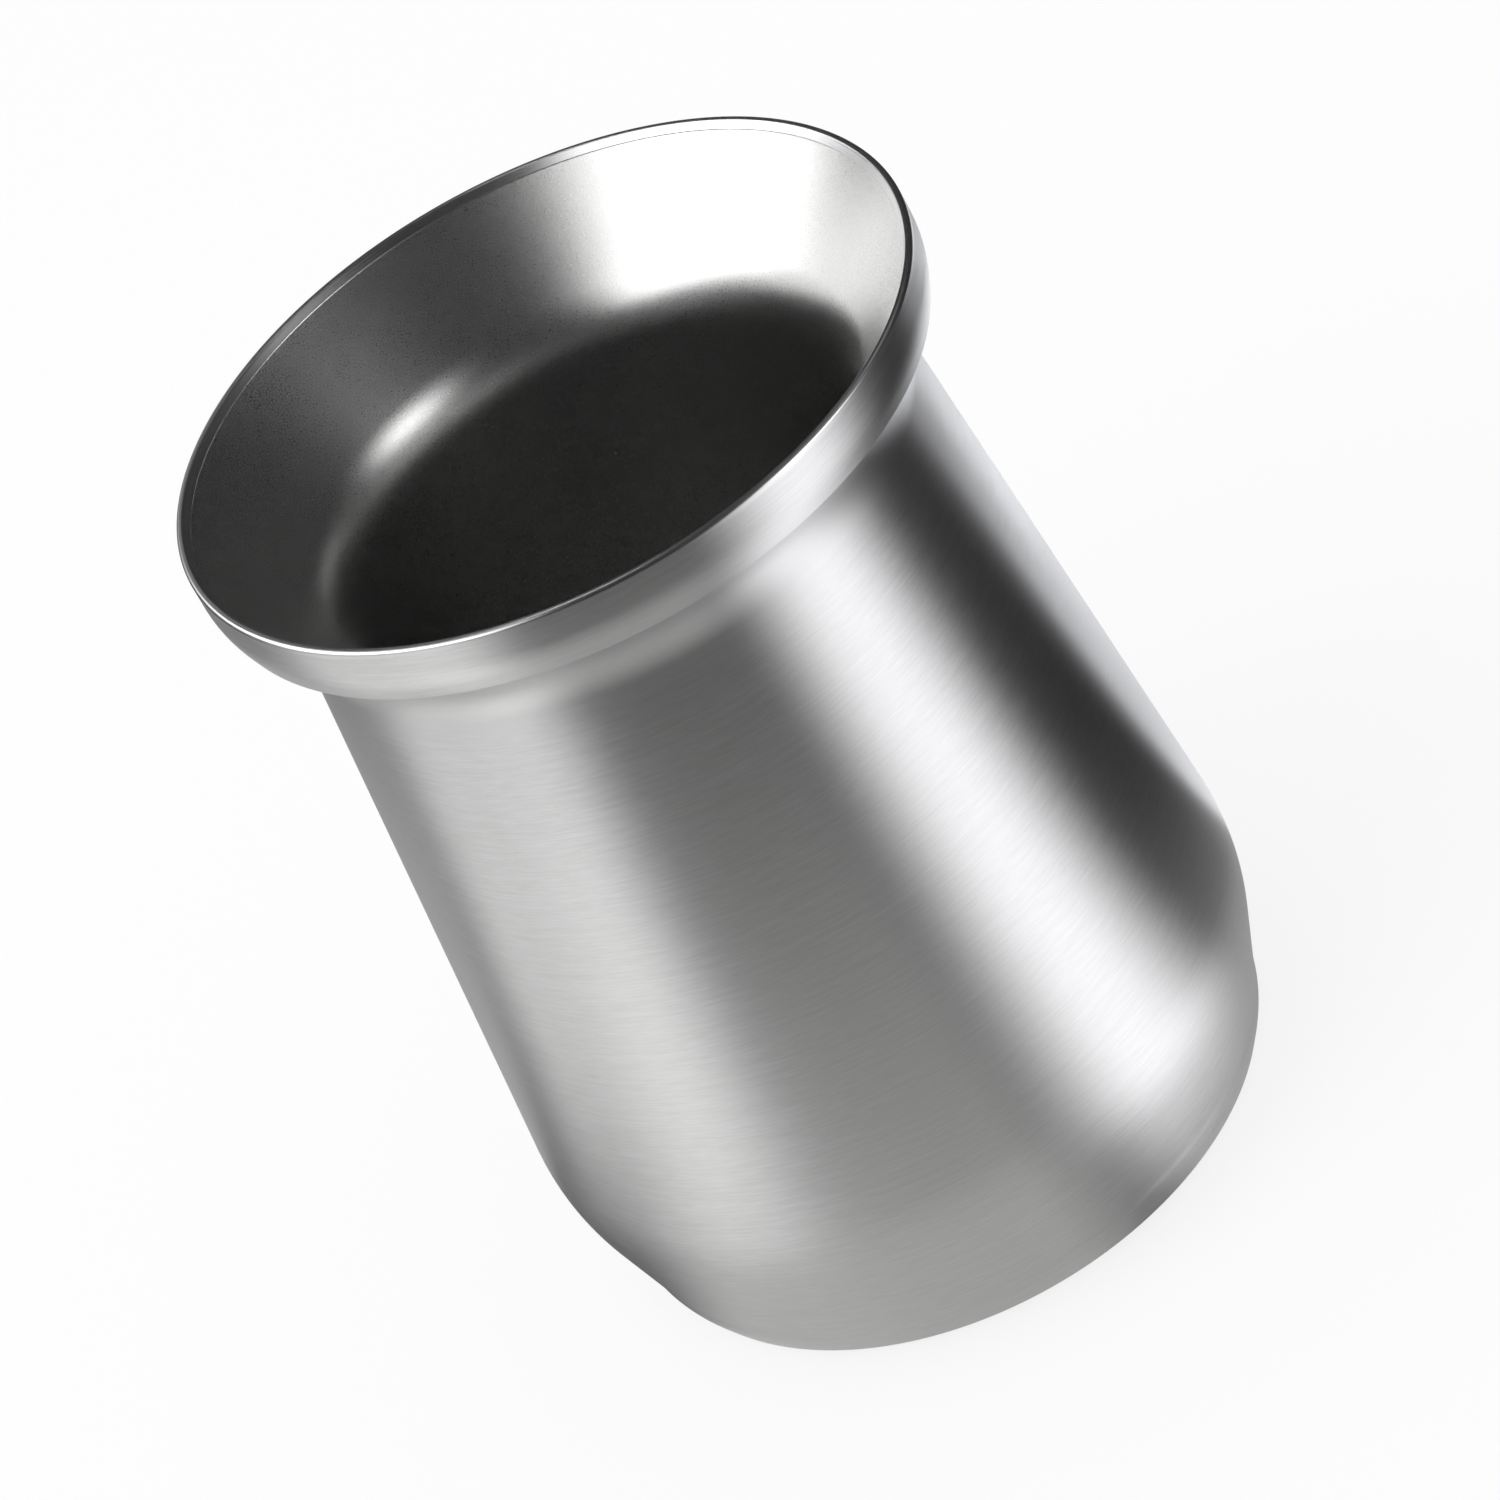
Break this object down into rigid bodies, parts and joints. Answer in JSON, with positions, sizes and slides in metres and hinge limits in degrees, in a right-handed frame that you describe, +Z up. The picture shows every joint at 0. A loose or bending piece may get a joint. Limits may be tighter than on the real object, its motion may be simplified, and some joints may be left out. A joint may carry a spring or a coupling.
{
  "type": "mate cup",
  "caption": "Double-walled steel mate cup: a flared mouth with a plain band, a drawn-in neck, a body that widens downwards to a rounded shoulder, and a flat foot.",
  "frame": {"origin": "on the cup's axis, in the plane that its foot rests on", "axes": "+Z up along the cup's axis; the cup is round, so +X and +Y are free, and the picture looks towards +Y"},
  "size_m": [0.08, 0.08, 0.104],
  "materials": {
    "brushed_outside": "stainless steel, brushed round the axis with fine short lines",
    "satin_inside": "stainless steel, evenly blasted to a fine-grained satin",
    "polished_lip": "stainless steel weld, ground round and polished",
    "plain_steel": "stainless sheet as rolled",
    "foil": "bright foil",
    "getter": "pressed and sintered metal powder",
    "solder_glass": "dark glass, melted in place"
  },
  "bodies": {
    "root": {"outer_shell": "brushed_outside", "inner_liner": "satin_inside", "rim_weld": "polished_lip", "base_cap": "brushed_outside", "vacuum_bottom": "plain_steel", "getter_clip": "plain_steel", "radiation_foil": "foil", "getter_pellet": "getter", "seal_plug": "solder_glass"}
  },
  "joints": []
}
